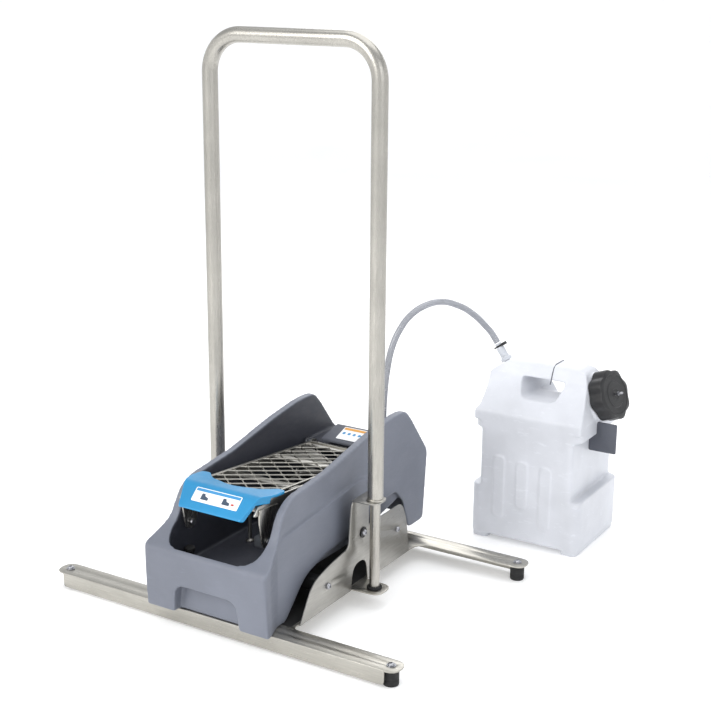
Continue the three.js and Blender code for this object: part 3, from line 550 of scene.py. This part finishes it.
def add_hose():
    curve = bpy.data.curves.new("supply_hose_run", "CURVE")
    curve.dimensions = "3D"
    curve.bevel_depth = HOSE_RADIUS * MM
    curve.bevel_resolution = 8
    curve.resolution_u = 10
    curve.use_fill_caps = True
    spline = curve.splines.new("BEZIER")
    spline.bezier_points.add(len(HOSE_ROUTE) - 1)
    for point, spot in zip(spline.bezier_points, HOSE_ROUTE):
        point.co = at(*spot)
        point.handle_left_type = point.handle_right_type = "AUTO"
    curve.materials.append(HOSE)
    hose = bpy.data.objects.new("supply_hose_run", curve)
    bpy.context.scene.collection.objects.link(hose)
    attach(hose, "station")
    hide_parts("supply_hose")

    gland = turned("hose_gland_skin",
                   [(5, 212.3), (8, 222), (8, 236.3), (14, 236.3), (14, 243.4), (13.4, 244),
                    (11, 244.4), (11, 253.6), (8.6, 257.6), (8, 261.4), (0, 261.7), (0, 212.3)],
                   at(47.5, 279, 0), Z, "station", "housing_plastic")
    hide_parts("hose_gland")
    socket = turned("coupling_socket_skin",
                    [(0, -14), (7, -14), (7, 1.4), (12.6, 1.4), (13, 1.8), (13, 7.6),
                     (12.6, 8.1), (10, 9.5), (10, 11.8), (0, 12)],
                    COUPLING_SEAT, COUPLING_AXIS, "station", "housing_plastic", material=WHITE_PLASTIC)
    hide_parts("coupling_socket")
    body = turned("coupling_body_skin",
                  [(0, 12.3), (9.2, 12.3), (9.5, 12.7), (9.5, 17), (8.9, 17.5), (8.9, 19),
                   (9.5, 19.5), (9.5, 31), (8.4, 35.6), (5, 36), (5, 40), (7.1, 40),
                   (7.5, 40.4), (7.5, 44.6), (7.1, 45), (0, 45)],
                  COUPLING_SEAT, COUPLING_AXIS, "station", "jug_plastic", material=WHITE_PLASTIC)
    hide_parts("coupling_body")
    turn = Z.rotation_difference(COUPLING_AXIS).to_matrix().to_4x4()
    plate("coupling_latch_pad", rectangle(10.6, 18.2, -8.2, 8.2, 3), "z", 34.6, 41.4, "coupling_latch",
          BLACK, Matrix.Translation(COUPLING_SEAT) @ turn, 0.8)


add_hose()


# ---- tub ----
def add_tub():
    bm = welded("tub_shell")
    source = bpy.data.meshes.new("tub_source")
    bm.to_mesh(source)
    bm.free()
    shell = link("tub_moulding", fused(source, 2.4, 12), SHELL, "station")
    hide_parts("tub_shell")


add_tub()


# ---- treadle ----
MESH_LONG = 44.0
MESH_SHORT = 40.0
GRATE_X = 80.0


def strand(bm, row):
    """One zigzag strand of the expanded metal, a tilted ribbon that meets its neighbours at the bonds."""
    centre = -419 + MESH_SHORT / 4 + row * MESH_SHORT / 2
    half, thick = 1.5, 0.8
    tilt = math.radians(48)
    wide = Vector((0, math.cos(tilt), math.sin(tilt))) * half
    deep = Vector((0, -math.sin(tilt), math.cos(tilt))) * thick
    xs = []
    x = -GRATE_X + 1
    while x <= GRATE_X - 1 + 1e-6:
        xs.append(x)
        x += 2
    previous = None
    for x in xs:
        phase = (x / (MESH_LONG / 2)) % 2
        rise = 1 - 2 * phase if phase <= 1 else 2 * phase - 3
        flat = max(-1, min(1, rise * 1.22))
        sign = 1 if row % 2 else -1
        middle = Vector((x, centre + sign * flat * (MESH_SHORT / 4 - 1.0), 12.5))
        section = [bm.verts.new(TREADLE @ ((middle + a * wide + b * deep) * MM))
                   for a, b in ((-1, -1), (1, -1), (1, 1), (-1, 1))]
        if previous:
            for k in range(4):
                j = (k + 1) % 4
                bm.faces.new((previous[k], previous[j], section[j], section[k]))
        else:
            bm.faces.new(section)
        previous = section
    bm.faces.new(previous)


def add_grate():
    bm = bmesh.new()
    rows = int((425 - 16 - 12) / (MESH_SHORT / 2))
    for row in range(rows):
        strand(bm, row)
    frame_bars = (
        (rectangle(-80, -75.5, -425, -16, 1), 10.9, 13.7), (rectangle(75.5, 80, -425, -16, 1), 10.9, 13.7),
        (rectangle(-80, 80, -425, -419, 1), 10.9, 13.7), (rectangle(-80, 80, -23, -16, 1), 10.9, 13.7),
    )
    for points, low, high in frame_bars:
        prism(bm, points, "z", low, high, TREADLE)
    grate = link("expanded_grate", built("expanded_grate", bm, 0.35, 40, 1), STEEL_X, "treadle")
    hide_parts("grate")


def add_heel_rest():
    bm = welded("heel_rest")
    source = bpy.data.meshes.new("heel_source")
    bm.to_mesh(source)
    bm.free()
    heel = link("heel_rest_moulding", fused(source, 1.3, 5), BLUE, "treadle")
    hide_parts("heel_rest")

    down = Vector((0, -39, -42)).normalized()
    out = X.cross(down).normalized()
    if out.z < 0:
        out = -out
    face = Matrix((X, -down, out)).transposed().to_4x4()
    face.translation = Vector((2, -470.6, 3.2)) * MM
    slope = TREADLE @ face
    lift = 0.25
    plate("heel_label", rectangle(-54, 54, -15, 15, 3), "z", lift, lift + 0.3, "treadle",
          PAPER, slope)
    ink = lift + 0.3
    plate("heel_label_band", rectangle(-52, 52, 7.5, 13.5, 1), "z", ink, ink + 0.12, "treadle",
          INK_BLUE, slope)
    for name, u in (("heel_label_sign_left", -26), ("heel_label_sign_right", 24)):
        boot = rounded([(u - 9, -9, 1), (u + 9, -9, 2), (u + 8, -3, 2), (u, -1, 2), (u - 2, 4, 1),
                        (u - 9, 4, 1)], 3)
        plate(name, boot, "z", ink, ink + 0.12, "treadle", INK_DARK, slope)
    plate("heel_label_mark", rectangle(36, 43, -7, -3, 1.5), "z", ink, ink + 0.12, "treadle",
          INK_RED, slope)


add_grate()
add_heel_rest()


# ---- handle ----
def add_handle():
    foot = 228.8
    run = arc_path([(-195.5, 0, foot), (-195.5, 0, 1123.5), (195.5, 0, 1123.5), (195.5, 0, foot)], 75, 24)
    tube = swept("handle_tube", run, 15.875, "station", "stainless", STEEL_Z, 56, inner=14.375)
    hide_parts("u_handle")
    for hand, side in SIDES:
        x = side * 195.5
        turned(f"handle_collar_{hand}", [(15.95, foot), (17.8, foot), (18.1, foot + 0.4), (18.1, foot + 3.4),
                                         (17.6, foot + 4), (15.95, foot + 4)],
               at(x, 0, 0), Z, "station", "stainless", STEEL_X)
        spigot = turned(f"spigot_{hand}",
                        [(0, 23), (3.6, 23), (4, 23.5), (4, 37.3), (10.5, 37.3), (10.5, foot),
                         (13.4, foot + 2), (13.4, foot + 58), (10.5, foot + 62), (0, foot + 62)],
                        at(x, 0, 0), Z, "station", "stainless", STEEL_Z)
        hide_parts(f"handle_spigot_{hand}")
        ring = turned(f"spigot_washer_{hand}",
                      [(10.8, 37.3), (15.1, 37.3), (15.5, 37.8), (15.5, 41), (14.6, 42), (10.8, 42)],
                      at(x, 0, 0), Z, "station", "rubber")
        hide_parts(f"spigot_ring_{hand}")


add_handle()


# ---- feet, screws and tie rods ----
def screw(name, place, axis, body):
    """A domed screw with a round drive recess on a flat washer."""
    radius, washer = 6.5, 9.0
    turned(name + "_washer",
           [(0, 0), (washer - 0.3, 0), (washer, 0.3), (washer, 1.1), (washer - 0.3, 1.4), (0, 1.4)],
           place, axis, body, "zinc_steel", segments=40)
    turned(name + "_head",
           [(0, 1.45), (radius - 0.4, 1.45), (radius, 1.9), (radius, 3.0), (radius * 0.86, 4.3),
            (radius * 0.6, 5.2), (radius * 0.42, 5.3), (radius * 0.38, 3.2), (0, 3.0)],
           place, axis, body, "zinc_steel", segments=40)


def add_base_fittings():
    for end, y in (("front", -261), ("rear", 270)):
        for hand, side in SIDES:
            place = at(side * 387.5, y, 0)
            foot = turned(f"rubber_foot_{end}_{hand}",
                          [(4.4, 6), (10, 6), (10, 0), (13.4, 0), (14.4, 0.7), (15, 2.2), (15, 11),
                           (14.3, 12), (14.3, 13), (15, 14), (15, 33.2), (14.5, 33.7), (4.4, 33.7)],
                          place, Z, "station", "rubber")
            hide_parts(f"foot_{end}_{hand}")
            screw(f"foot_screw_{end}_{hand}", at(side * 387.5, y, 37.05), Z, "station")
    rods = (("tie_rod_front", -119, 79.5, 160.3, 6.5), ("tie_rod_rear", 151, 103.5, 160.3, 6.5),
            ("tie_rod_shell", 12, 146.5, 162.3, 6.5))
    for name, y, z, reach, radius in rods:
        ends = []
        for s in (-1, 1):
            half = [(3, s * 20), (3, s * reach), (radius, s * reach), (radius, s * (reach + 2)),
                    (radius * 0.8, s * (reach + 4.2)), (radius * 0.5, s * (reach + 5)),
                    (2.6, s * (reach + 5)), (2.3, s * (reach + 3)), (0, s * (reach + 2.9))]
            ends.append(half)
        profile = list(reversed(ends[0])) + ends[1]
        rod = turned(name + "_skin", profile, at(0, y, z), X, "station", "zinc_steel", ZINC, 40)
        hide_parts(name)
    for hand, side in SIDES:
        turned(f"shell_rod_washer_{hand}",
               [(3.4, 0), (11, 0), (11.5, 0.4), (11.5, 1.5), (11, 1.9), (3.4, 1.9)],
               at(side * 160.2, 12, 146.5), X * side, "station", "rubber", BLACK)


add_base_fittings()


def add_shadow_sheets():
    """Black sheets on the pan and on the inner faces of the side plates: painted shadow in the dark gap under
    the tub.
    """
    plate("pan_shadow_sheet", rectangle(-150, 150, -234, 204, 6), "z", 37.02, 37.22, "station", RUBBER)
    skin = rounded([(-205, 42, 2), (-172, 98, 20), (-112, 115, 20), (-40, 124, 10), (-26, 120, 10),
                    (-38, 42, 2)])
    rear_skin = rounded([(40, 42, 2), (38, 120, 6), (60, 150, 8), (165, 151, 10), (184, 116, 12),
                         (198, 42, 2)])
    for hand, side in SIDES:
        inner, outer = sorted((side * 156.95, side * 156.75))
        plate(f"plate_shadow_sheet_front_{hand}", skin, "x", inner, outer, "station", RUBBER)
        plate(f"plate_shadow_sheet_rear_{hand}", rear_skin, "x", inner, outer, "station", RUBBER)


# Painted shadow: black sheets in the gap under the tub.
add_shadow_sheets()


# ---- jug ----
CAP_CENTRE = at(465, 543, 349)
CAP_AXIS = Vector((0.92, -0.14, 0.36)).normalized()


def cylinder(profile, place, axis):
    holder = turned("form", profile, place, axis, "station", "jug_plastic")
    mesh = holder.data.copy()
    mesh.transform(holder.matrix_world)
    bpy.data.objects.remove(holder)
    return mesh


def add_jug():
    left, right, front, back = 192, 455, 428, 660
    side = rounded([(front, 280, 0), (back, 280, 0), (back, 303, 8), (588, 372, 10), (574, 405, 12),
                    (514, 405, 12), (500, 372, 10), (front, 303, 8)])
    face = rounded([(196, 270, 0), (451, 270, 0), (451, 306, 6), (424, 396, 9), (400, 405, 9), (240, 405, 10),
                    (196, 374, 6), (203, 346, 10), (204, 312, 4), (196, 303, 5)])
    upper = combined(mesh_of((side, "x", left, right)), mesh_of((face, "y", front, back)), "INTERSECT")
    grip = rounded([(292, 334, 12), (370, 334, 12), (382, 374, 12), (274, 374, 12)])
    upper = combined(upper, mesh_of((grip, "y", front - 1, back + 1)), "DIFFERENCE")
    scoop = rounded([(548, 334, 0), (back + 10, 296, 0), (back + 10, 374, 0), (548, 374, 0)])
    upper = combined(upper, mesh_of((scoop, "x", 296, 366)), "DIFFERENCE")
    flutes = [(rectangle(x - 13, x + 13, bottom, top, 12), "y", face_y - depth, face_y + depth)
              for x, top, bottom in ((262, 204, 60), (318, 200, 90), (374, 196, 50))
              for face_y, depth in ((front, 3), (back - 3, 3))]
    feet = [(rectangle(x0, x1, front + 4, back - 4, 14), "z", 0, 16)
            for x0, x1 in ((left + 4, left + 44), (right - 44, right - 4))]
    lower = mesh_of(
        (rectangle(left, right, front, back, 26), "z", 12, 127),
        (rectangle(left + 21, right - 21, front, back, 12), "z", 107, 274),
        (rectangle(left + 4, right - 4, front, back, 26), "z", 262, 290),
        *flutes, *feet)
    neck = cylinder([(0, -40), (55, -34), (55, -16), (41, -16), (41, 12), (0, 12)], CAP_CENTRE, CAP_AXIS)
    jug = link("jug_blow_moulding", fused(merged(upper, lower, neck), 2.2, 8),
               JUG, "station")
    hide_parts("jug_body", "dip_tube")

    rim = [(496, 366), (500, 373), (506, 388), (513, 400), (524, 405.4), (544, 405.6), (564, 405.4),
           (575, 400), (582, 388), (588, 373), (592, 366)]
    swept("jug_mould_seam", [at(346, y, z) for y, z in rim], 1.1, "station", "jug_plastic", HOUSING, 16)
    # A dark plate on the jug's side under the neck: painted shadow in the recess there.
    plate("jug_recess_shadow", rounded([(434, 224, 4), (497, 224, 4), (497, 292, 4), (434, 292, 4)]), "y", 520, 523,
          "station", HOUSING, bevel=0.6)

    def lobed(angle, radius, height):
        if radius < 46 or not -14 <= height <= 16.5:
            return 1
        return 1 + 0.1 * (0.5 + 0.5 * math.cos(8 * angle)) ** 0.8

    cap = turned("jug_cap_skin",
                 [(0, 14.8), (43, 14.8), (43, -15), (51.4, -15), (52, -14), (52, -12), (52, 13),
                  (51.2, 16.4), (49, 18.4), (45, 18.8), (43.6, 17.4), (30, 17), (28, 18.6),
                  (12, 18.8), (10.5, 17.6), (0, 17.4)],
                 CAP_CENTRE, CAP_AXIS, "jug_cap", "black_plastic", segments=144, lobes=lobed)
    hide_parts("jug_cap")
    pin = turned("cap_vent_pin_skin",
                 [(0, 15), (3, 15), (3, 24), (4.4, 24), (4.4, 26), (3, 26), (3, 34.4), (2.2, 36.4), (0, 37)],
                 CAP_CENTRE, CAP_AXIS, "jug_cap", "zinc_steel", ZINC, 32)
    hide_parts("cap_vent_pin")


add_jug()


# ---- the CAD's own shapes with rounded edges ----
def add_refined():
    along = {
        "base_pan": (1.2, STEEL_X), "side_plate_left": (0.9, STEEL_Y), "side_plate_right": (0.9, STEEL_Y),
        "treadle_frame": (0.8, STEEL_Y), "rear_housing": (1.6, HOUSING), "pump_cylinder": (0.4, STEEL_Z),
        # The subframe is drawn in black plastic as painted shade in the dark gap under the tub.
        "subframe": (0.8, BLACK), "hanger_left": (0.6, STEEL_Z), "hanger_right": (0.6, STEEL_Z),
        "coupling_latch": (0.8, BLACK),
    }
    shown = {o.get("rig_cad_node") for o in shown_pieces()} - {None}
    for node in sorted(NODES):
        if node in shown and not NODES[node].hide_render:
            bevel, material = along.get(node, (0.3, None))
            refined(node, bevel, material)
    spring = bpy.data.objects["return_spring_skin"]
    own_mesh(spring)


add_refined()


# ---- label on the toe cover ----
def add_toe_label():
    run = Vector((0, 58, 19)).normalized()
    out = X.cross(run).normalized()
    base = Matrix((X, run, out)).transposed().to_4x4()
    base.translation = Vector((0, 225, 262.9)) * MM
    slope = STATION @ base
    low = 0.2
    plate("toe_label", rectangle(-29, 29, -22, 22, 3), "z", low, low + 0.3, "station",
          PAPER, slope)
    ink = low + 0.3
    plate("toe_label_band", rectangle(-27, 27, 12, 20, 1), "z", ink, ink + 0.12, "station",
          INK_ORANGE, slope)
    for i in range(4):
        u = -19.5 + 13 * i
        plate(f"toe_label_sign_{i + 1}", rectangle(u - 3.5, u + 3.5, -4, 4, 3), "z", ink, ink + 0.12,
              "station", INK_BLUE, slope)


add_toe_label()


# ---- floor and light ----
def add_studio():
    bm = bmesh.new()
    profile = [(0.02, 0), (3, 0), (5, 0), (7.5, 0)]
    for k in range(1, 13):
        angle = math.radians(90 * k / 12)
        profile.append((7.5 + 2.5 * math.sin(angle), 2.5 - 2.5 * math.cos(angle)))
    profile.append((10, 5))
    rows = [[bm.verts.new((r * math.cos(2 * math.pi * i / 96), r * math.sin(2 * math.pi * i / 96), z))
             for i in range(96)] for r, z in profile]
    bm.faces.new(rows[0])
    for low, high in zip(rows, rows[1:]):
        for i in range(96):
            j = (i + 1) % 96
            bm.faces.new((low[i], low[j], high[j], high[i]))
    mesh = bpy.data.meshes.new("studio_floor")
    bm.to_mesh(mesh)
    bm.free()
    for polygon in mesh.polygons:
        polygon.use_smooth = True
    n = Nodes("studio_floor_paint")
    cloud = n.noise(1.5, 3)
    n.join(n.mix(n.spread(cloud, 0, 1), linear("f1f1f1"), linear("f8f8f8")), n.shader.inputs["Base Color"])
    n.join(n.spread(cloud, 0.75, 0.85), n.shader.inputs["Roughness"])
    n.set(Emission_Color=(1, 1, 1, 1), Emission_Strength=0.22)
    mesh.materials.append(n.material)
    floor = bpy.data.objects.new("studio_floor", mesh)
    bpy.context.scene.collection.objects.link(floor)

    lights = (
        ("key_light", (-1.2, -3.7, 2.7), 2.6, 96, (1, 0.99, 0.97)),
        ("fill_light", (3.2, -1.6, 2.0), 2.2, 14, (0.95, 0.97, 1)),
        ("top_light", (0.2, 0.4, 3.6), 3.2, 46, (1, 1, 1)),
        ("back_light", (-1.2, 3.4, 2.6), 2.4, 40, (1, 1, 1)),
    )
    for name, spot, size, power, color in lights:
        data = bpy.data.lights.new(name, "AREA")
        data.size = size
        data.energy = power
        data.color = color
        lamp = bpy.data.objects.new(name, data)
        lamp.location = spot
        aim = (Vector((0, 0, 0.35)) - lamp.location).to_track_quat("-Z", "Y")
        lamp.rotation_euler = aim.to_euler()
        bpy.context.scene.collection.objects.link(lamp)
    bpy.context.scene.view_settings.view_transform = "Standard"
    world = bpy.data.worlds.new("studio_world")
    world.use_nodes = True
    world.node_tree.nodes["Background"].inputs["Color"].default_value = (0.95, 0.97, 1, 1)
    world.node_tree.nodes["Background"].inputs["Strength"].default_value = 0.72
    bpy.context.scene.world = world


add_studio()
